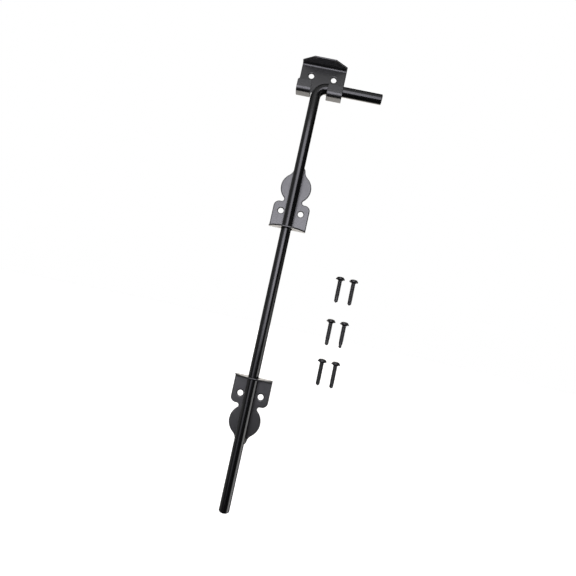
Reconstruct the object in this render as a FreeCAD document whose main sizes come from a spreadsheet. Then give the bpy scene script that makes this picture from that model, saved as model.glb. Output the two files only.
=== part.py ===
import FreeCAD, Part
import math
import os
import Sketcher

# Gate cane bolt kit, millimetres: a bent round bar, a keeper bracket with two hooks,
# two guide brackets and six loose screws.  Origin on the back face of the keeper
# bracket, midway between its two screw holes.  +Z up along the rod, +X along the
# handle, -Y out of the gate.  The plane y = 0 is the gate's face.

SIZES = [
    # round bar
    ("rod_dia", 12.7), ("rod_x", -3.5), ("rod_y", -9.2), ("handle_z", -18.0),
    ("rod_bottom_z", -548.2), ("bend_radius", 14.0), ("handle_end_x", 79.2),
    ("bar_end_chamfer", 0.8),
    # sheet used for all three brackets
    ("sheet", 2.0), ("bend_inner", 2.6), ("edge_round", 0.5), ("front_roll", 1.3),
    # how far a cutting outline runs past the metal
    ("overcut", 5.0),
    # keeper bracket
    ("keeper_left", -29.1), ("keeper_right", 29.1), ("roof_under_z", 14.9),
    ("roof_depth", 18.0), ("roof_front_half", 13.8), ("roof_side_depth", 7.2),
    ("hook_floor_z", -27.9), ("leg_face_y", -17.8), ("leg_top_z", -15.2),
    ("hook_bend_inner", 3.0), ("notch_left", -10.9), ("notch_right", 9.75),
    ("notch_z", -21.3), ("leg_corner", 2.6), ("keeper_hole_dia", 7.1),
    ("keeper_hole_gap", 29.3),
    # guide brackets: a rise is measured up from the underside of the flange
    ("guide_width", 46.4), ("guide_depth", 20.2), ("guide_side_depth", 7.4),
    ("guide_hole_dia", 7.1), ("guide_hole_gap", 25.4), ("guide_hole_rise", 23.0),
    ("guide_square_rise", 35.3), ("guide_corner", 7.0), ("guide_disc_rise", 55.0),
    ("guide_disc_radius", 19.35), ("guide_tip_rise", 77.0), ("guide_tip_radius", 7.5),
    ("guide_waist_fillet", 2.9), ("guide_tip_fillet", 12.0), ("guide_bore_dia", 14.3),
    ("upper_guide_z", -204.0), ("lower_guide_z", -389.2), ("guide_shift", 0.6),
    # self-drilling screws
    ("screw_length", 32.6), ("screw_head_dia", 11.2), ("screw_head_rise", 4.0),
    ("screw_rim", 1.5), ("screw_neck", 1.0), ("screw_neck_step", 0.6),
    ("screw_taper", 0.5), ("screw_shank_dia", 5.2), ("screw_point_length", 5.6),
    ("screw_point_dia", 4.7), ("screw_tip_length", 1.5), ("screw_recess_depth", 1.9),
    ("screw_recess_width", 1.1), ("screw_recess_span", 4.8),
    # screw places: top of the head, and the step to the left from row to row
    ("screw_y", -5.7), ("screw_left_x", 74.9), ("screw_right_x", 91.6),
    ("screw_row_a_z", -247.9), ("screw_row_b_z", -301.0), ("screw_row_c_z", -350.2),
    ("screw_step_x", 0.65),
]
CORNER_ROUND = "sizes.edge_round * 1.3"    # small corners of the keeper's outline
ROUND_TRIES = (1.0, 0.85, 0.7, 0.5, 0.4)   # shares of edge_round, largest first
ROLL_TRIES = (1.0, 0.85, 0.7, 0.55)        # shares of front_roll, largest first

doc = FreeCAD.newDocument("cane_bolt")
V = FreeCAD.Vector
sheet = doc.addObject("Spreadsheet::Sheet", "sizes")
for row, (alias, value) in enumerate(SIZES, 1):
    sheet.set("A%d" % row, alias)
    sheet.set("B%d" % row, str(value))
    sheet.setAlias("B%d" % row, alias)
doc.recompute()


def size(alias):
    return float(sheet.get(alias))


# ---------------------------------------------------------------- points
def near(a, b):
    return abs(a - b) < 0.01


def diagonal_point(x, y, radius, side_x, side_y):
    """The point of a circle about (x, y) on the diagonal towards (side_x, side_y)."""
    reach = radius * math.sqrt(0.5)
    return (x + reach * side_x, y + reach * side_y)


def towards(start, end, reach):
    """The point at a distance `reach` from start in the direction of end."""
    share = reach / math.hypot(end[0] - start[0], end[1] - start[1])
    return (start[0] + (end[0] - start[0]) * share, start[1] + (end[1] - start[1]) * share)


def mirror(point):
    return (-point[0], point[1])


# ---------------------------------------------------------------- sketches
def new_body(name):
    body = doc.addObject("PartDesign::Body", name)
    body.Label = name
    return body


def sketch_on(body, name, role, height=0):
    """A sketch on an origin plane.  On XZ its normal is -Y, on YZ it is +X."""
    sketch = body.newObject("Sketcher::SketchObject", name)
    plane = next(f for f in body.Origin.OriginFeatures if f.Role == role)
    sketch.AttachmentSupport = [(plane, "")]
    sketch.MapMode = "FlatFace"
    sketch.AttachmentOffset = FreeCAD.Placement(V(0, 0, height), FreeCAD.Rotation())
    return sketch


def draw_loop(sketch, steps):
    """Draw a chain from the first point, closed by a straight line.

    A step is a point, reached by a line, or a pair (middle, end), reached by an arc.
    """
    here = steps[0]
    pieces = []  # geometry number, vertex where it starts, vertex where it ends
    for step in steps[1:] + steps[:1]:
        if isinstance(step[0], tuple):
            middle, end = step
            curve = Part.Arc(V(*here, 0), V(*middle, 0), V(*end, 0))
            turn = ((middle[0] - here[0]) * (end[1] - middle[1])
                    - (middle[1] - here[1]) * (end[0] - middle[0]))
            # a sketch numbers an arc's ends anticlockwise, whichever way it was drawn
            vertices = (2, 1) if turn < 0 else (1, 2)
        else:
            end = step
            curve = Part.LineSegment(V(*here, 0), V(*end, 0))
            vertices = (1, 2)
        pieces.append((sketch.addGeometry(curve, False), *vertices))
        here = end
    for (a, _, a_end), (b, b_start, _) in zip(pieces, pieces[1:] + pieces[:1]):
        sketch.addConstraint(Sketcher.Constraint("Coincident", a, a_end, b, b_start))


def drive(sketch, expression, *constraint):
    """Add a dimension that follows the spreadsheet."""
    number = sketch.addConstraint(Sketcher.Constraint(*constraint))
    sketch.setExpression("Constraints[%d]" % number, expression)


def draw_circle(sketch, x, y, dia, x_expression=None, y_expression=None):
    """A circle at (x, y) whose diameter, and centre if asked, follow the spreadsheet."""
    circle = Part.Circle(V(x, y, 0), V(0, 0, 1), size(dia) / 2)
    number = sketch.addGeometry(circle, False)
    drive(sketch, "sizes." + dia, "Diameter", number, size(dia))
    if x_expression:
        drive(sketch, x_expression, "DistanceX", -1, 1, number, 3, x)
    if y_expression:
        drive(sketch, y_expression, "DistanceY", -1, 1, number, 3, y)


# ---------------------------------------------------------------- features
def pad(body, name, sketch, length, midplane=False):
    doc.recompute()
    feature = body.newObject("PartDesign::Pad", name)
    feature.Profile = sketch
    feature.setExpression("Length", length)
    feature.Midplane = midplane
    doc.recompute()


def pocket(body, name, sketch, length=None, midplane=False):
    """Cut a sketch out of the body, through everything if no length is given."""
    doc.recompute()
    before = body.Shape.Volume
    feature = body.newObject("PartDesign::Pocket", name)
    feature.Profile = sketch
    if length is None:
        feature.Type = "ThroughAll"
    else:
        feature.setExpression("Length", length)
    feature.Midplane = midplane
    doc.recompute()
    if not body.Shape.Volume < before - 1e-3:
        raise SystemExit("%s removed nothing" % name)


def edges_where(shape, test):
    return ["Edge%d" % i for i, edge in enumerate(shape.Edges, 1) if test(edge, edge.BoundBox)]


def add_fillet(body, name, edges, radius):
    base = body.Tip
    feature = body.newObject("PartDesign::Fillet", name)
    feature.Base = (base, edges)
    feature.setExpression("Radius", radius)
    doc.recompute()
    return feature


def is_sound(feature):
    return "Invalid" not in feature.State and feature.Shape.isValid()


def fillet(body, name, radius, test):
    edges = edges_where(body.Shape, test)
    if not edges:
        raise SystemExit("%s found no edges" % name)
    if not is_sound(add_fillet(body, name, edges, radius)):
        raise SystemExit("%s failed" % name)


def crosses_sheet(edge):
    """True for an edge as long as the sheet is thick."""
    return abs(edge.Length - size("sheet")) < 0.05


# ---------------------------------------------------------------- the bar
def make_rod():
    """One length of round bar, bent once at the top into the handle."""
    body = new_body("cane_rod")
    rod_x, bottom, handle_z = size("rod_x"), size("rod_bottom_z"), size("handle_z")
    radius, handle_end = size("bend_radius"), size("handle_end_x")
    bend_x, bend_z = rod_x + radius, handle_z - radius  # centre of the bend
    bend_start, bend_end = V(rod_x, bend_z, 0), V(bend_x, handle_z, 0)
    bend_middle = V(*diagonal_point(bend_x, bend_z, radius, -1, 1), 0)

    spine = sketch_on(body, "bar_spine", "XZ_Plane")
    upright = spine.addGeometry(Part.LineSegment(V(rod_x, bottom, 0), bend_start), False)
    bend = spine.addGeometry(Part.Arc(bend_start, bend_middle, bend_end), False)
    handle = spine.addGeometry(Part.LineSegment(bend_end, V(handle_end, handle_z, 0)), False)
    spine.addConstraint(Sketcher.Constraint("Vertical", upright))
    spine.addConstraint(Sketcher.Constraint("Horizontal", handle))
    # the bend is drawn clockwise, so its vertex 2 meets the upright
    spine.addConstraint(Sketcher.Constraint("Tangent", upright, 2, bend, 2))
    spine.addConstraint(Sketcher.Constraint("Tangent", bend, 1, handle, 1))
    for kind, line, vertex, alias in (
            ("DistanceX", upright, 1, "rod_x"), ("DistanceY", upright, 1, "rod_bottom_z"),
            ("DistanceX", handle, 2, "handle_end_x"), ("DistanceY", handle, 2, "handle_z")):
        drive(spine, "sizes." + alias, kind, -1, 1, line, vertex, size(alias))
    drive(spine, "sizes.bend_radius", "Radius", bend, radius)

    section = sketch_on(body, "bar_section", "XY_Plane", bottom)
    section.setExpression("AttachmentOffset.Base.z", "sizes.rod_bottom_z")
    draw_circle(section, rod_x, 0, "rod_dia", "sizes.rod_x")
    doc.recompute()
    bar = body.newObject("PartDesign::AdditivePipe", "bar")
    bar.Profile = section
    bar.Spine = (spine, ["Edge1", "Edge2", "Edge3"])
    doc.recompute()
    chamfer = body.newObject("PartDesign::Chamfer", "bar_end_chamfers")
    chamfer.Base = (bar, edges_where(bar.Shape, lambda edge, box:
                    box.ZMax < bottom + 0.01 or box.XMin > handle_end - 0.01))
    chamfer.setExpression("Size", "sizes.bar_end_chamfer")
    doc.recompute()
    body.Placement = FreeCAD.Placement(V(0, size("rod_y"), 0), FreeCAD.Rotation())
    return body


# ---------------------------------------------------------------- keeper bracket
def make_keeper():
    """A folded strip: roof, plate on the gate, floor and a short leg back up.

    A slot splits the bottom fold into two hooks.
    """
    body = new_body("keeper_bracket")
    thick, inner = size("sheet"), size("bend_inner")
    outer = inner + thick
    hook_inner = size("hook_bend_inner")
    hook_outer = hook_inner + thick
    roof_under = size("roof_under_z")
    roof_top = roof_under + thick
    roof_front = -size("roof_depth")
    floor_top = size("hook_floor_z")
    floor_under = floor_top - thick
    leg_front, leg_top = size("leg_face_y"), size("leg_top_z")
    leg_back = leg_front + thick
    overcut = size("overcut")

    # centres of the three folds, as (y, z)
    top_fold = (-outer, roof_top - outer)
    low_fold = (-outer, floor_under + outer)
    hook_fold = (leg_front + hook_outer, floor_under + hook_outer)
    side = sketch_on(body, "folded_strip", "YZ_Plane")
    draw_loop(side, [
        (roof_front, roof_top),
        (-outer, roof_top),
        (diagonal_point(*top_fold, outer, 1, 1), (0, top_fold[1])),
        (0, low_fold[1]),
        (diagonal_point(*low_fold, outer, 1, -1), (-outer, floor_under)),
        (hook_fold[0], floor_under),
        (diagonal_point(*hook_fold, hook_outer, -1, -1), (leg_front, hook_fold[1])),
        (leg_front, leg_top),
        (leg_back, leg_top),
        (leg_back, hook_fold[1]),
        (diagonal_point(*hook_fold, hook_inner, -1, -1), (hook_fold[0], floor_top)),
        (-outer, floor_top),
        (diagonal_point(*low_fold, inner, 1, -1), (-thick, low_fold[1])),
        (-thick, top_fold[1]),
        (diagonal_point(*top_fold, inner, 1, 1), (-outer, roof_under)),
        (roof_front, roof_under),
    ])
    pad(body, "strip", side, "sizes.keeper_right - sizes.keeper_left", midplane=True)

    # sloping front corners of the roof
    right, front_half = size("keeper_right"), size("roof_front_half")
    side_front = -size("roof_side_depth")
    for name, sign in (("left", -1), ("right", 1)):
        cut = sketch_on(body, "roof_corner_" + name, "XY_Plane", roof_top + overcut)
        draw_loop(cut, [
            (sign * front_half, roof_front), (sign * (right + overcut), roof_front),
            (sign * (right + overcut), side_front), (sign * right, side_front),
        ])
        pocket(body, "roof_corner_cut_" + name, cut, "sizes.sheet + 2 * sizes.overcut")

    # slot between the two hooks
    slot_left, slot_right, slot_top = size("notch_left"), size("notch_right"), size("notch_z")
    slot = sketch_on(body, "hook_slot", "XZ_Plane")
    draw_loop(slot, [
        (slot_left, slot_top), (slot_right, slot_top),
        (slot_right, floor_under - overcut), (slot_left, floor_under - overcut),
    ])
    pocket(body, "hook_slot_cut", slot, midplane=True)
    # the legs stand higher than the slot's top edge, so the slot is carried up between them
    gap = sketch_on(body, "leg_gap", "XY_Plane", leg_top + overcut)
    draw_loop(gap, [
        (slot_left, leg_front - overcut), (slot_right, leg_front - overcut),
        (slot_right, -outer), (slot_left, -outer),
    ])
    pocket(body, "leg_gap_cut", gap,
           "sizes.leg_top_z - sizes.hook_floor_z + 2 * sizes.overcut")

    holes = sketch_on(body, "keeper_screw_holes", "XZ_Plane")
    for sign in (-1, 1):
        draw_circle(holes, sign * size("keeper_hole_gap") / 2, 0, "keeper_hole_dia",
                    "%d * sizes.keeper_hole_gap / 2" % sign)
    pocket(body, "keeper_screw_hole_cut", holes, midplane=True)

    fillet(body, "leg_corners", "sizes.leg_corner", lambda edge, box:
           crosses_sheet(edge) and box.YMax < leg_back + 0.01
           and near(box.ZMax, leg_top) and near(box.ZLength, 0))
    fillet(body, "roof_corners", CORNER_ROUND, lambda edge, box:
           crosses_sheet(edge) and box.ZMin > roof_under - 0.01 and box.ZLength > 1.9)
    fillet(body, "slot_corners", CORNER_ROUND, lambda edge, box:
           crosses_sheet(edge) and near(box.ZMax, slot_top) and box.YLength > 1.9
           and near(box.XLength, 0) and box.YMax > -0.01)
    return body


# ---------------------------------------------------------------- guide brackets
def guide_outline():
    """The plate seen from the front: a square, a disc above it and a round tip."""
    half_width, corner = size("guide_width") / 2, size("guide_corner")
    square_top = size("guide_square_rise")
    disc_z, disc_radius = size("guide_disc_rise"), size("guide_disc_radius")
    tip_z, tip_radius = size("guide_tip_rise"), size("guide_tip_radius")
    waist_radius, neck_radius = size("guide_waist_fillet"), size("guide_tip_fillet")
    disc, tip = (0, disc_z), (0, tip_z)

    # waist fillet between the square's top edge and the disc
    waist_z = square_top + waist_radius
    waist_x = math.sqrt((disc_radius + waist_radius) ** 2 - (disc_z - waist_z) ** 2)
    waist = (waist_x, waist_z)
    waist_end = towards(waist, disc, waist_radius)
    # any point between the fillet's ends fixes its arc: this one lies just below level
    waist_middle = towards(waist, (waist_x - 10, waist_z - 0.5), waist_radius)

    # fillet between the disc and the round tip
    tip_reach, disc_reach = tip_radius + neck_radius, disc_radius + neck_radius
    neck_z = (((tip_reach ** 2 - tip_z ** 2) - (disc_reach ** 2 - disc_z ** 2))
              / (2 * (disc_z - tip_z)))
    neck = (math.sqrt(disc_reach ** 2 - (neck_z - disc_z) ** 2), neck_z)
    neck_start = towards(disc, neck, disc_radius)
    neck_end = towards(tip, neck, tip_radius)
    neck_middle = towards(neck, (0, (neck_start[1] + neck_end[1]) / 2), neck_radius)

    corner_x, corner_z = half_width - corner, square_top - corner
    corner_middle = diagonal_point(corner_x, corner_z, corner, 1, 1)
    return [
        (-half_width, 0),
        (half_width, 0),
        (half_width, corner_z),
        (corner_middle, (corner_x, square_top)),
        (waist_x, square_top),
        (waist_middle, waist_end),
        ((disc_radius, disc_z), neck_start),
        (neck_middle, neck_end),
        ((0, tip_z + tip_radius), mirror(neck_end)),
        (mirror(neck_middle), mirror(neck_start)),
        ((-disc_radius, disc_z), mirror(waist_end)),
        (mirror(waist_middle), (-waist_x, square_top)),
        (-corner_x, square_top),
        (mirror(corner_middle), (-half_width, corner_z)),
    ]


def make_guide(name, z, turn):
    """A plate rising from its flange, turned by `turn` degrees about the gate's normal.

    It is modelled with the underside of the flange at z = 0.
    """
    body = new_body(name)
    thick, width = size("sheet"), size("guide_width")
    half_width, side_depth = width / 2, size("guide_side_depth")

    plate = sketch_on(body, name + "_outline", "XZ_Plane")
    draw_loop(plate, guide_outline())
    pad(body, name + "_plate", plate, "sizes.sheet")
    flange = sketch_on(body, name + "_flange_plan", "XY_Plane")
    draw_loop(flange, [
        (-half_width, 0),
        (half_width, 0),
        (half_width, -side_depth),
        ((0, -size("guide_depth")), (-half_width, -side_depth)),
    ])
    pad(body, name + "_flange", flange, "sizes.sheet")

    holes = sketch_on(body, name + "_screw_holes", "XZ_Plane")
    for sign in (-1, 1):
        draw_circle(holes, sign * size("guide_hole_gap") / 2, size("guide_hole_rise"),
                    "guide_hole_dia", "%d * sizes.guide_hole_gap / 2" % sign,
                    "sizes.guide_hole_rise")
    pocket(body, name + "_screw_hole_cut", holes, midplane=True)

    # inside and outside of the fold
    fillet(body, name + "_bend_inside", "sizes.bend_inner", lambda edge, box:
           box.XLength > width - 0.1 and near(box.YLength, 0)
           and near(box.YMin, -thick) and near(box.ZMin, thick))
    fillet(body, name + "_bend_outside", "sizes.bend_inner + sizes.sheet", lambda edge, box:
           box.XLength > width - 0.1 and near(box.YLength, 0)
           and near(box.YMin, 0) and near(box.ZMin, 0))

    # the hole for the bar, which nicks the inside of the fold
    bore = sketch_on(body, name + "_rod_hole", "XY_Plane")
    draw_circle(bore, 0, size("rod_y"), "guide_bore_dia", y_expression="sizes.rod_y")
    pocket(body, name + "_rod_hole_cut", bore, "sizes.sheet * 6", midplane=True)
    # blunt corners where the flange's curved edge meets its sides
    fillet(body, name + "_flange_corners", "sizes.sheet", lambda edge, box:
           crosses_sheet(edge) and near(box.YMin, -side_depth) and near(box.YLength, 0))

    body.Placement = FreeCAD.Placement(V(size("rod_x") + size("guide_shift"), 0, z),
                                       FreeCAD.Rotation(V(0, 1, 0), turn))
    return body


# ---------------------------------------------------------------- sheared edges
def sharp_edges(body, front_only):
    """Names of the bracket's sharp edges, or only of those in the plate's front face."""
    shape = body.Tip.Shape
    thick = size("sheet")
    is_guide = body.Name.endswith("guide")

    def is_wanted(edge, box):
        faces = shape.ancestorsOfType(edge, Part.Face)
        if len(faces) != 2:
            return False
        middle = edge.valueAt((edge.FirstParameter + edge.LastParameter) / 2)
        if front_only and (abs(middle.y + thick) > 0.01 or box.YLength > 0.01):
            return False
        first, second = [face.normalAt(*face.Surface.parameter(middle)) for face in faces]
        # the guides' rod hole runs into the fold, so its rim stays as punched
        bore_rim = (is_guide and abs(middle.x) < size("guide_bore_dia") / 2 + 0.1
                    and middle.z < thick + size("bend_inner") + 0.2
                    and middle.y > -size("guide_depth") + 1.0)
        # a screw hole is rounded at the front only: its back edge lies on the gate
        hole_back = (isinstance(edge.Curve, Part.Circle) and edge.Curve.Radius < 4.0
                     and abs(middle.y) < 0.01)
        is_sharp = first.getAngle(second) > math.radians(60)
        return is_sharp and not bore_rim and not hole_back

    return edges_where(shape, is_wanted)


def soften(body, suffix, radius, shares, front_only=False):
    """Round the sharp edges by the largest share of the radius that makes a sound solid.

    If none does, the edges stay sharp.
    """
    base = body.Tip
    edges = sharp_edges(body, front_only)
    if not edges:
        return
    for share in shares:
        feature = add_fillet(body, body.Name + suffix, edges, "%s * %s" % (radius, share))
        if is_sound(feature) and len(feature.Shape.Solids) == 1:
            return
        body.removeObject(feature)
        doc.removeObject(feature.Name)
        body.Tip = base
        doc.recompute()


# ---------------------------------------------------------------- screws
def make_screw(name, x, z):
    """A low-domed self-drilling screw hanging point down, with a cross recess."""
    body = new_body(name)
    head, shank = size("screw_head_dia") / 2, size("screw_shank_dia") / 2
    point, taper = size("screw_point_dia") / 2, size("screw_taper")
    head_under = -size("screw_head_rise")
    neck_end = head_under - size("screw_neck")
    bottom = -size("screw_length")
    point_top = bottom + size("screw_point_length")

    profile = sketch_on(body, name + "_half_section", "XZ_Plane")
    draw_loop(profile, [
        (0, 0),
        # the dome's middle point, as shares of the head's radius and height
        ((head * 0.56, head_under * 0.2), (head, head_under + size("screw_rim"))),
        (head, head_under),
        (shank + size("screw_neck_step"), neck_end),
        (shank, neck_end - taper),
        (shank, point_top),
        (point, point_top - taper),
        (point, bottom + size("screw_tip_length")),
        (0, bottom),
    ])
    doc.recompute()
    turned = body.newObject("PartDesign::Revolution", name + "_turned")
    turned.Profile = profile
    turned.ReferenceAxis = (profile, ["V_Axis"])
    turned.Angle = 360
    doc.recompute()

    wide, span = size("screw_recess_width") / 2, size("screw_recess_span") / 2
    cross = sketch_on(body, name + "_recess", "XY_Plane")
    draw_loop(cross, [
        (-span, -wide), (-wide, -wide), (-wide, -span), (wide, -span),
        (wide, -wide), (span, -wide), (span, wide), (wide, wide),
        (wide, span), (-wide, span), (-wide, wide), (-span, wide),
    ])
    pocket(body, name + "_recess_cut", cross, "sizes.screw_recess_depth * 2", midplane=True)
    body.Placement = FreeCAD.Placement(V(x, size("screw_y"), z), FreeCAD.Rotation())
    return body


# ---------------------------------------------------------------- build and export
rod = make_rod()
brackets = [
    make_keeper(),
    make_guide("upper_guide", size("upper_guide_z"), 0),
    make_guide("lower_guide", size("lower_guide_z"), 180),
]
for bracket in brackets:
    soften(bracket, "_front_roll", "sizes.front_roll", ROLL_TRIES, front_only=True)
for bracket in brackets:
    soften(bracket, "_rim", "sizes.edge_round", ROUND_TRIES)

screws = []
for i, row_alias in enumerate(("screw_row_a_z", "screw_row_b_z", "screw_row_c_z")):
    for column_alias in ("screw_left_x", "screw_right_x"):
        screws.append(make_screw("screw_%d" % (len(screws) + 1),
                                 size(column_alias) - i * size("screw_step_x"),
                                 size(row_alias)))

doc.recompute()
for item in doc.Objects:
    if "Invalid" in item.State or "Error" in item.State:
        raise SystemExit("%s is in state %s" % (item.Name, item.State))
bodies = [rod] + brackets + screws
for body in bodies:
    if body.Shape.isNull() or not body.Shape.isValid() or len(body.Shape.Solids) != 1:
        raise SystemExit("%s has no sound single solid" % body.Label)
os.makedirs("parts", exist_ok=True)
for body in bodies:
    body.Shape.exportStep(os.path.join("parts", body.Label + ".step"))
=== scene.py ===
# A gloss black cane rod with its keeper bracket, two guides and six screws, in a white studio.
# Metres, Z up. The screws stand along Z, heads up. The camera is on the -Y side, looking
# along +Y, with +X to its right.
import math

import bmesh
import bpy
from mathutils import Matrix, Vector


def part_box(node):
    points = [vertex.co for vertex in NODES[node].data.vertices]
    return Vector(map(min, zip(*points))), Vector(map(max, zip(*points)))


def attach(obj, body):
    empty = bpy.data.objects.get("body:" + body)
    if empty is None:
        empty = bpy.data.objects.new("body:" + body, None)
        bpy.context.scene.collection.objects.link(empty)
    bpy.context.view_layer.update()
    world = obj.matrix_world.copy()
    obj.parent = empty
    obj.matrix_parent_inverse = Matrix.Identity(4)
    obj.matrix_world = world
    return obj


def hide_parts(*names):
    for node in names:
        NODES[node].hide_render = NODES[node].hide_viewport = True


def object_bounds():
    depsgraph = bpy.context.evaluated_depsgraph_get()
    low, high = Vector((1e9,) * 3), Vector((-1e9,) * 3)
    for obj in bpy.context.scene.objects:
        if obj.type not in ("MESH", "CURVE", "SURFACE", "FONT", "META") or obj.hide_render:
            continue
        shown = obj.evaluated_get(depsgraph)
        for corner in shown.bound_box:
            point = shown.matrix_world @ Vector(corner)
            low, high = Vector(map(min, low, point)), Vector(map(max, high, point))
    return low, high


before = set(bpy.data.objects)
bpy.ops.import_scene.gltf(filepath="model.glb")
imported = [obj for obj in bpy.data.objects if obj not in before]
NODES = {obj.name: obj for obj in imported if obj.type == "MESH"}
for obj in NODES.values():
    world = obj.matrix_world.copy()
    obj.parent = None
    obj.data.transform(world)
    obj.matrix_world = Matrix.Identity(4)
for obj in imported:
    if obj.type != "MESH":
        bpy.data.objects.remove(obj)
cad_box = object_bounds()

scene = bpy.context.scene
scene.view_settings.view_transform = "Standard"
scene.view_settings.look = "None"
scene.view_settings.exposure = 0.0
scene.view_settings.gamma = 1.0


# ---------------------------------------------------------------- shared helpers
def add_object(name, data):
    obj = bpy.data.objects.new(name, data)
    scene.collection.objects.link(obj)
    return obj


def mesh_from(bm, name):
    mesh = bpy.data.meshes.new(name)
    bm.to_mesh(mesh)
    bm.free()
    return mesh


def axes_matrix(x_axis, y_axis, z_axis, place):
    """The transform whose local axes and origin are these vectors."""
    return Matrix((*zip(x_axis, y_axis, z_axis, place), (0, 0, 0, 1)))


def math_node(tree, operation, *values):
    """A math node; each value is a number or a socket to link."""
    node = tree.nodes.new("ShaderNodeMath")
    node.operation = operation
    for socket, value in zip(node.inputs, values):
        if isinstance(value, (int, float)):
            socket.default_value = value
        else:
            tree.links.new(value, socket)
    return node.outputs[0]


def noise(tree, vector, scale, detail, roughness):
    node = tree.nodes.new("ShaderNodeTexNoise")
    node.inputs["Scale"].default_value = scale
    node.inputs["Detail"].default_value = detail
    node.inputs["Roughness"].default_value = roughness
    tree.links.new(vector, node.inputs["Vector"])
    return node.outputs["Fac"]


def ramp(tree, source, stops):
    """An eased colour ramp; stops are (position, rgb), lowest first."""
    node = tree.nodes.new("ShaderNodeValToRGB")
    node.color_ramp.interpolation = "EASE"
    elements = node.color_ramp.elements
    for element, (position, colour) in zip(elements, (stops[0], stops[-1])):
        element.position = position
        element.color = (*colour, 1)
    for position, colour in stops[1:-1]:
        elements.new(position).color = (*colour, 1)
    tree.links.new(source, node.inputs["Fac"])
    return node.outputs["Color"]


def mix_to(tree, factor, source, colour):
    """Mixes from the source socket to a fixed colour."""
    node = tree.nodes.new("ShaderNodeMix")
    node.data_type = "RGBA"
    tree.links.new(factor, node.inputs["Factor"])
    tree.links.new(source, node.inputs["A"])
    node.inputs["B"].default_value = (*colour, 1)
    return node.outputs["Result"]


# ---------------------------------------------------------------- materials
BLACK = (0, 0, 0)
WHITE = (1, 1, 1)
RUBBED = (0.06, 0.058, 0.058)   # colour of the coat where an edge is worn
RUBBED_ROUGHNESS = 0.5          # added to the roughness there
FINE_PEEL = 0.12                # share of the finer powder texture in the bump


def even(value):
    return (value, value, value)


def cool_grey(value):
    return (value, value, value * 1.04)


def new_material(name):
    material = bpy.data.materials.new(name)
    material.use_nodes = True
    tree = material.node_tree
    tree.nodes.clear()
    output = tree.nodes.new("ShaderNodeOutputMaterial")
    bsdf = tree.nodes.new("ShaderNodeBsdfPrincipled")
    tree.links.new(bsdf.outputs["BSDF"], output.inputs["Surface"])
    return material, tree, bsdf


def wear_mask(tree, place, wear):
    """Specks along the convex edges, wear bright at most."""
    geometry = tree.nodes.new("ShaderNodeNewGeometry")
    edge = ramp(tree, geometry.outputs["Pointiness"], [(0.52, BLACK), (0.60, even(wear))])
    speck = noise(tree, place, scale=900.0, detail=3.0, roughness=0.6)
    gate = ramp(tree, speck, [(0.5, BLACK), (0.66, WHITE)])
    return math_node(tree, "MULTIPLY", edge, gate)


def orange_peel(tree, place, scale, height):
    hump = noise(tree, place, scale=scale, detail=1.0, roughness=0.4)
    fine = noise(tree, place, scale=scale * 3.1, detail=2.0, roughness=0.5)
    relief = math_node(tree, "MULTIPLY_ADD", fine, FINE_PEEL, hump)
    bump = tree.nodes.new("ShaderNodeBump")
    bump.inputs["Strength"].default_value = 1.0
    bump.inputs["Distance"].default_value = height
    tree.links.new(relief, bump.inputs["Height"])
    return bump.outputs["Normal"]


def black_coat(name, base, rough, peel_scale, peel_height, wear, stretch=(1, 1, 1), specular=0.5):
    """Gloss black powder coat: colour drift, orange peel, dusty roughness and paler edges."""
    material, tree, bsdf = new_material(name)
    bsdf.inputs["Specular IOR Level"].default_value = specular
    bsdf.inputs["IOR"].default_value = 1.5
    place = tree.nodes.new("ShaderNodeTexCoord").outputs["Object"]
    mapping = tree.nodes.new("ShaderNodeMapping")
    mapping.inputs["Scale"].default_value = stretch
    tree.links.new(place, mapping.inputs["Vector"])
    stretched = mapping.outputs["Vector"]

    # slow drift of the cured colour, rubbed paler on the edges
    cloud = noise(tree, stretched, scale=38.0, detail=4.0, roughness=0.55)
    tint = ramp(tree, cloud, [(0.3, cool_grey(base * 0.7)), (0.5, cool_grey(base)),
                              (0.72, cool_grey(base * 1.4))])
    worn = wear_mask(tree, place, wear)
    tree.links.new(mix_to(tree, worn, tint, RUBBED), bsdf.inputs["Base Color"])

    # slow smears and fine dust in the roughness
    smear = noise(tree, stretched, scale=260.0, detail=6.0, roughness=0.7)
    smeared = ramp(tree, smear, [(0.3, even(rough * 0.93)), (0.7, even(rough * 1.07))])
    roughness = math_node(tree, "MULTIPLY_ADD", worn, RUBBED_ROUGHNESS, smeared)
    tree.links.new(roughness, bsdf.inputs["Roughness"])

    normal = orange_peel(tree, stretched, peel_scale, peel_height)
    tree.links.new(normal, bsdf.inputs["Normal"])
    return material


# base is the linear grey, peel_height the height of the coat's humps in metres
ROD = black_coat("rod_gloss_black", base=0.0015, rough=0.20, peel_scale=420.0,
                 peel_height=0.000006, wear=0.06, stretch=(1, 1, 0.4))
BRACKET = black_coat("bracket_gloss_black", base=0.0014, rough=0.38, peel_scale=520.0,
                     peel_height=0.000012, wear=0.3, specular=0.92)
SCREW = black_coat("screw_black_coat", base=0.004, rough=0.40, peel_scale=1400.0,
                   peel_height=0.000010, wear=0.3)

for piece, coat in (("cane_rod", ROD), ("keeper_bracket", BRACKET),
                    ("upper_guide", BRACKET), ("lower_guide", BRACKET)):
    slots = NODES[piece].data.materials
    slots.clear()
    slots.append(coat)


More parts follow.
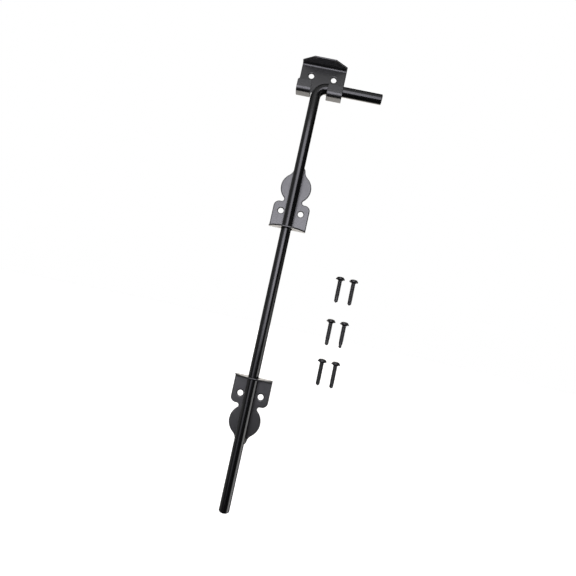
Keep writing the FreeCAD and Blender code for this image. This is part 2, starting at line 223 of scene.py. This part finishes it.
# ---------------------------------------------------------------- screws
# Sizes in millimetres, with the top of the head at z = 0.
MM = 0.001
SEGMENTS = 64
LENGTH = 32.6
HEAD_RADIUS, HEAD_HEIGHT = 5.6, 4.0
RIM_RADIUS = 1.9 / 2            # of the rim's half-round section
RIM_CENTRE = HEAD_RADIUS - RIM_RADIUS
RIM_TOP = -HEAD_HEIGHT + 2 * RIM_RADIUS
NECK = 1.0                      # height of the coned underside of the head
SHANK_TOP = -HEAD_HEIGHT - NECK
CORE, CREST = 2.35, 2.75        # thread radii
THREAD_PITCH = 1.6
POINT = 5.4                     # length of the drill point
THREAD_FOOT = -LENGTH + POINT
POINT_STEP = 0.16
TIP_RADIUS, TIP_SLOPE = 0.35, 1.25
FLUTE_DEPTH = 0.34              # share of the radius
FLUTE_START, FLUTE_TWIST = 0.35, 0.18   # radians, and radians per mm
RECESS_TOP = (2.35, 0.55)       # half length and half width of a recess slot
RECESS_FLOOR = (0.75, 0.30)
RECESS_RISE, RECESS_DEPTH = 0.35, 2.1   # the cutter above and below the head's top
SCREW_TURN, SCREW_TURN_STEP = 23, 47    # degrees, so that no two screws sit alike


def clamp(value):
    return max(0.0, min(1.0, value))


# each ring is (z, radius as a function of angle and z)
def round_ring(z, radius):
    return z, lambda angle, z: radius


def drill_radius(angle, z):
    """Coned tip with two twisted flutes that fade out below the thread."""
    height = z + LENGTH
    cone = min(CORE, TIP_RADIUS + height * TIP_SLOPE)
    twist = angle + math.pi / 2 - FLUTE_START - height * FLUTE_TWIST
    cut = max(0.0, math.cos(2 * twist)) ** 1.5
    fade = clamp((POINT - 0.4 - height) / 1.2)
    return cone * (1 - FLUTE_DEPTH * cut * fade)


def thread_radius(angle, z):
    """Helical ridge that grows from the point and fades out under the head."""
    turn = (z - THREAD_FOOT) / THREAD_PITCH - angle / (2 * math.pi)
    ridge = max(0.0, 1 - abs(turn - math.floor(turn) - 0.5) / 0.26)
    grow = clamp((z - THREAD_FOOT) / (THREAD_PITCH * 1.2))
    fade = clamp((SHANK_TOP - 0.7 - z) / 0.8)
    return CORE + (CREST - CORE) * (ridge ** 0.85) * grow * fade


def shank_rings():
    rings = []
    z = -LENGTH + 0.02
    while z < THREAD_FOOT - 0.05:
        rings.append((z, drill_radius))
        z += POINT_STEP
    z = THREAD_FOOT
    while z < SHANK_TOP - 0.4:
        rings.append((z, thread_radius))
        z += THREAD_PITCH / 10
    # flare at the top of the shank: drop below it, growth over the core
    for drop, growth in ((0.35, 0), (0.12, 0.12), (0, 0.42)):
        rings.append(round_ring(SHANK_TOP - drop, CORE + growth))
    return rings


def head_rings():
    """Coned underside, half-round rim and low dome."""
    rings = []
    for radius in (3.0, 3.3, 3.6, 3.9, 4.4, 4.85):
        rings.append(round_ring(SHANK_TOP + NECK * clamp((radius - 2.8) / 1.1), radius))
    for k in range(7):
        angle = math.pi * (k / 6.0)
        rings.append(round_ring(-HEAD_HEIGHT + RIM_RADIUS - math.cos(angle) * RIM_RADIUS,
                                RIM_CENTRE + math.sin(angle) * RIM_RADIUS))
    for k in range(1, 15):
        angle = k / 15.0 * math.pi / 2
        radius = RIM_CENTRE * math.cos(angle) ** 0.9
        z = RIM_TOP - RIM_TOP * math.sin(angle) ** 0.85
        rings.append(round_ring(z, max(radius, 0.05)))
    return rings


def screw_body(name):
    bm = bmesh.new()
    angles = [2 * math.pi * i / SEGMENTS for i in range(SEGMENTS)]
    loops = [[bm.verts.new((radius(a, z) * math.cos(a) * MM,
                            radius(a, z) * math.sin(a) * MM, z * MM)) for a in angles]
             for z, radius in shank_rings() + head_rings()]
    tip = bm.verts.new((0, 0, -LENGTH * MM))
    top = bm.verts.new((0, 0, 0))
    for lower, upper in zip(loops, loops[1:]):
        for i in range(SEGMENTS):
            j = (i + 1) % SEGMENTS
            bm.faces.new((lower[i], lower[j], upper[j], upper[i]))
    for i in range(SEGMENTS):
        j = (i + 1) % SEGMENTS
        bm.faces.new((loops[0][j], loops[0][i], tip))
        bm.faces.new((loops[-1][i], loops[-1][j], top))
    bmesh.ops.recalc_face_normals(bm, faces=bm.faces)
    return mesh_from(bm, name)


def recess_cutter(order):
    """One tapered slot of the cross, long in X for order 1 and in Y for order -1."""
    bm = bmesh.new()
    corners = []
    for (half_x, half_y), z in ((RECESS_TOP[::order], RECESS_RISE),
                                (RECESS_FLOOR[::order], -RECESS_DEPTH)):
        for x, y in ((-1, -1), (1, -1), (1, 1), (-1, 1)):
            corners.append(bm.verts.new((x * half_x * MM, y * half_y * MM, z * MM)))
    for face in ((0, 1, 2, 3), (7, 6, 5, 4), (0, 4, 5, 1),
                 (1, 5, 6, 2), (2, 6, 7, 3), (3, 7, 4, 0)):
        bm.faces.new([corners[k] for k in face])
    bmesh.ops.recalc_face_normals(bm, faces=bm.faces)
    return add_object("cut", mesh_from(bm, "cut"))


def screw_mesh(name):
    """Low-domed self-drilling screw with a tapered cross recess."""
    body_mesh = screw_body(name)
    cutters = [recess_cutter(order) for order in (1, -1)]
    body = add_object(name + "_tmp", body_mesh)
    for cutter in cutters:
        boolean = body.modifiers.new("b", "BOOLEAN")
        boolean.operation = "DIFFERENCE"
        boolean.object = cutter
        boolean.solver = "EXACT"
    bpy.context.view_layer.update()
    depsgraph = bpy.context.evaluated_depsgraph_get()
    mesh = bpy.data.meshes.new_from_object(body.evaluated_get(depsgraph))
    for obj in cutters + [body]:
        bpy.data.objects.remove(obj)
    mesh.name = name
    for polygon in mesh.polygons:
        polygon.use_smooth = True
    mesh.set_sharp_from_angle(angle=math.radians(38))
    mesh.materials.clear()
    mesh.materials.append(SCREW)
    return mesh


base_screw = screw_mesh("screw_form")
for n in range(1, 7):
    node = "screw_%d" % n
    low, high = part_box(node)
    mesh = base_screw.copy()
    mesh.name = node + "_threaded"
    screw = add_object(node + "_threaded", mesh)
    head_top = ((low[0] + high[0]) / 2, (low[1] + high[1]) / 2, high[2])
    turn = math.radians(SCREW_TURN + SCREW_TURN_STEP * n)
    mesh.transform(Matrix.Translation(head_top) @ Matrix.Rotation(turn, 4, "Z"))
    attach(screw, "guides")
    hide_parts(node)


# ---------------------------------------------------------------- floor
FLOOR_RADIUS = 14.0
FLOOR_DROP = 0.20   # below the product
FLOOR_GLOW = 0.9    # emission, seen by the camera only


def floor_material():
    """Matt white board that glows evenly to the camera."""
    material, tree, bsdf = new_material("pale_floor")
    place = tree.nodes.new("ShaderNodeTexCoord").outputs["Object"]
    mottle = noise(tree, place, scale=3.0, detail=3.0, roughness=0.5)
    colour = ramp(tree, mottle, [(0.3, even(0.78)), (0.7, even(0.82))])
    tree.links.new(colour, bsdf.inputs["Base Color"])
    bsdf.inputs["Roughness"].default_value = 0.8
    bsdf.inputs["Emission Color"].default_value = (1, 1, 1, 1)
    light_path = tree.nodes.new("ShaderNodeLightPath")
    glow = math_node(tree, "MULTIPLY", light_path.outputs["Is Camera Ray"], FLOOR_GLOW)
    tree.links.new(glow, bsdf.inputs["Emission Strength"])
    return material


bm = bmesh.new()
bmesh.ops.create_circle(bm, cap_ends=True, segments=96, radius=FLOOR_RADIUS)
floor = add_object("floor", mesh_from(bm, "floor"))
floor.data.materials.append(floor_material())
floor.location = (0, 0, cad_box[0][2] - FLOOR_DROP)
floor.visible_glossy = False


# ---------------------------------------------------------------- lights
VIOLET = (0.965, 0.95, 1.05)


def strip(name, bottom, top, width, luminance, aim_z):
    """A softbox between two edge midpoints, turned to face the point at aim_z on the Z axis."""
    bottom, top, aim = Vector(bottom), Vector(top), Vector((0.0, 0.0, aim_z))
    middle = (bottom + top) / 2
    length = (top - bottom).length
    along = (top - bottom).normalized()
    back = (middle - aim).normalized()
    back = (back - back.dot(along) * along).normalized()
    light = bpy.data.lights.new(name, "AREA")
    light.shape = "RECTANGLE"
    light.size = width
    light.size_y = length
    # watts that give a Lambertian rectangle this luminance
    light.energy = luminance * math.pi * width * length
    light.color = VIOLET
    obj = add_object(name, light)
    obj.matrix_world = axes_matrix(along.cross(back), along, back, middle)
    obj.visible_camera = False


# a key window leaning over the product, two more joined on below it, two dim ones
# at the lower left and a dim wall on the left
KEY_1_BOTTOM = (-0.006, -0.394, -0.125)
KEY_2_BOTTOM = (-0.006, -0.534, -0.280)
strip("key_1", bottom=KEY_1_BOTTOM, top=(-0.006, -0.238, 0.048),
      width=0.245, luminance=4.0, aim_z=-0.12)
strip("key_2", bottom=KEY_2_BOTTOM, top=KEY_1_BOTTOM, width=0.35, luminance=5.6, aim_z=-0.2)
strip("key_3", bottom=(-0.006, -0.640, -0.392), top=KEY_2_BOTTOM,
      width=0.44, luminance=3.6, aim_z=-0.3)
strip("key_low", bottom=(-0.30, -0.72, -0.64), top=(-0.24, -0.70, -0.40),
      width=0.38, luminance=1.6, aim_z=-0.4)
strip("key_foot", bottom=(-0.40, -0.72, -0.86), top=(-0.34, -0.72, -0.64),
      width=0.40, luminance=0.8, aim_z=-0.4)
strip("left_wall", bottom=(-0.60, -0.72, -0.40), top=(-0.50, -0.72, 0.40),
      width=0.44, luminance=0.85, aim_z=-0.2)

# ---------------------------------------------------------------- world
# Soft patches of light: luminance, azimuth from, to, softness, elevation from, to, softness.
# Degrees; azimuth is measured from -Y, positive to the right (+X).
ROOM = (
    (0.50, -60, 60, 16, 28, 75, 6),     # ceiling above the camera
    (0.50, -30, 20, 8, 8, 36, 6),       # its lower edge
    (0.3, -150, -60, 12, -60, 60, 10),  # dim left side
    (2.9, 67, 112, 6, -50, -1, 14),     # window low on the right
)
PANEL = (2.7, 163, 197, 6, -42, 42, 6)  # behind the product, by azimuth without its sign
PANEL_TINT = {"X": 1.0, "Y": 0.955, "Z": 0.90}  # red, green, blue
AMBIENT = 0.03

world = bpy.data.worlds.new("studio")
scene.world = world
world.use_nodes = True
sky = world.node_tree
sky.nodes.clear()


def sky_math(operation, *values):
    return math_node(sky, operation, *values)


def soft_step(value, start, end):
    node = sky.nodes.new("ShaderNodeMapRange")
    node.interpolation_type = "SMOOTHSTEP"
    sky.links.new(value, node.inputs["Value"])
    node.inputs["From Min"].default_value = start
    node.inputs["From Max"].default_value = end
    return node.outputs["Result"]


def window(value, start, end, soft):
    """1 between start and end, fading across each of them by soft either way."""
    return sky_math("MULTIPLY", soft_step(value, start - soft, start + soft),
                    sky_math("SUBTRACT", 1.0, soft_step(value, end - soft, end + soft)))


def patch(azimuth, luminance, az_from, az_to, az_soft, el_from, el_to, el_soft):
    shape = sky_math("MULTIPLY", window(azimuth, az_from, az_to, az_soft),
                     window(elevation, el_from, el_to, el_soft))
    return sky_math("MULTIPLY", shape, luminance)


output = sky.nodes.new("ShaderNodeOutputWorld")
background = sky.nodes.new("ShaderNodeBackground")
direction = sky.nodes.new("ShaderNodeTexCoord")
split = sky.nodes.new("ShaderNodeSeparateXYZ")
sky.links.new(direction.outputs["Generated"], split.inputs[0])
x, y, z = (split.outputs[axis] for axis in "XYZ")

level_length = sky_math("SQRT", sky_math("ADD", sky_math("MULTIPLY", x, x),
                                         sky_math("MULTIPLY", y, y)))
to_degrees = 180 / math.pi
bearing = sky_math("MULTIPLY", sky_math("ARCTAN2", x, sky_math("MULTIPLY", y, -1.0)), to_degrees)
elevation = sky_math("MULTIPLY", sky_math("ARCTAN2", z, level_length), to_degrees)
unsigned_bearing = sky_math("ABSOLUTE", bearing)

total = sky_math("ADD", AMBIENT, 0.0)
for spec in ROOM:
    total = sky_math("ADD", total, patch(bearing, *spec))
panel = patch(unsigned_bearing, *PANEL)
room_colour = sky.nodes.new("ShaderNodeCombineXYZ")
for axis, tint in PANEL_TINT.items():
    channel = sky_math("ADD", total, sky_math("MULTIPLY", panel, tint))
    sky.links.new(channel, room_colour.inputs[axis])

# the camera itself sees plain white
light_path = sky.nodes.new("ShaderNodeLightPath")
seen = mix_to(sky, light_path.outputs["Is Camera Ray"], room_colour.outputs[0], WHITE)
sky.links.new(seen, background.inputs["Color"])
background.inputs["Strength"].default_value = 1.0
sky.links.new(background.outputs["Background"], output.inputs["Surface"])

# ---------------------------------------------------------------- camera
CAMERA_PLACE = (0.0297256, -0.4960176, -0.3104794)
YAW, PITCH, ROLL = -0.0316, 0.0718, 0.2146  # radians; yaw from +Y towards +X

forward = Vector((math.sin(YAW) * math.cos(PITCH), math.cos(YAW) * math.cos(PITCH),
                  math.sin(PITCH)))
level_right = Vector((math.cos(YAW), -math.sin(YAW), 0.0))
level_up = level_right.cross(forward)
right = math.cos(ROLL) * level_right + math.sin(ROLL) * level_up
up = -math.sin(ROLL) * level_right + math.cos(ROLL) * level_up
lens = bpy.data.cameras.new("camera")
lens.sensor_width = 36.0
lens.lens = 25.0
lens.clip_start = 0.01
lens.clip_end = 60.0
camera = add_object("camera", lens)
camera.matrix_world = axes_matrix(right, up, -forward, CAMERA_PLACE)
scene.camera = camera
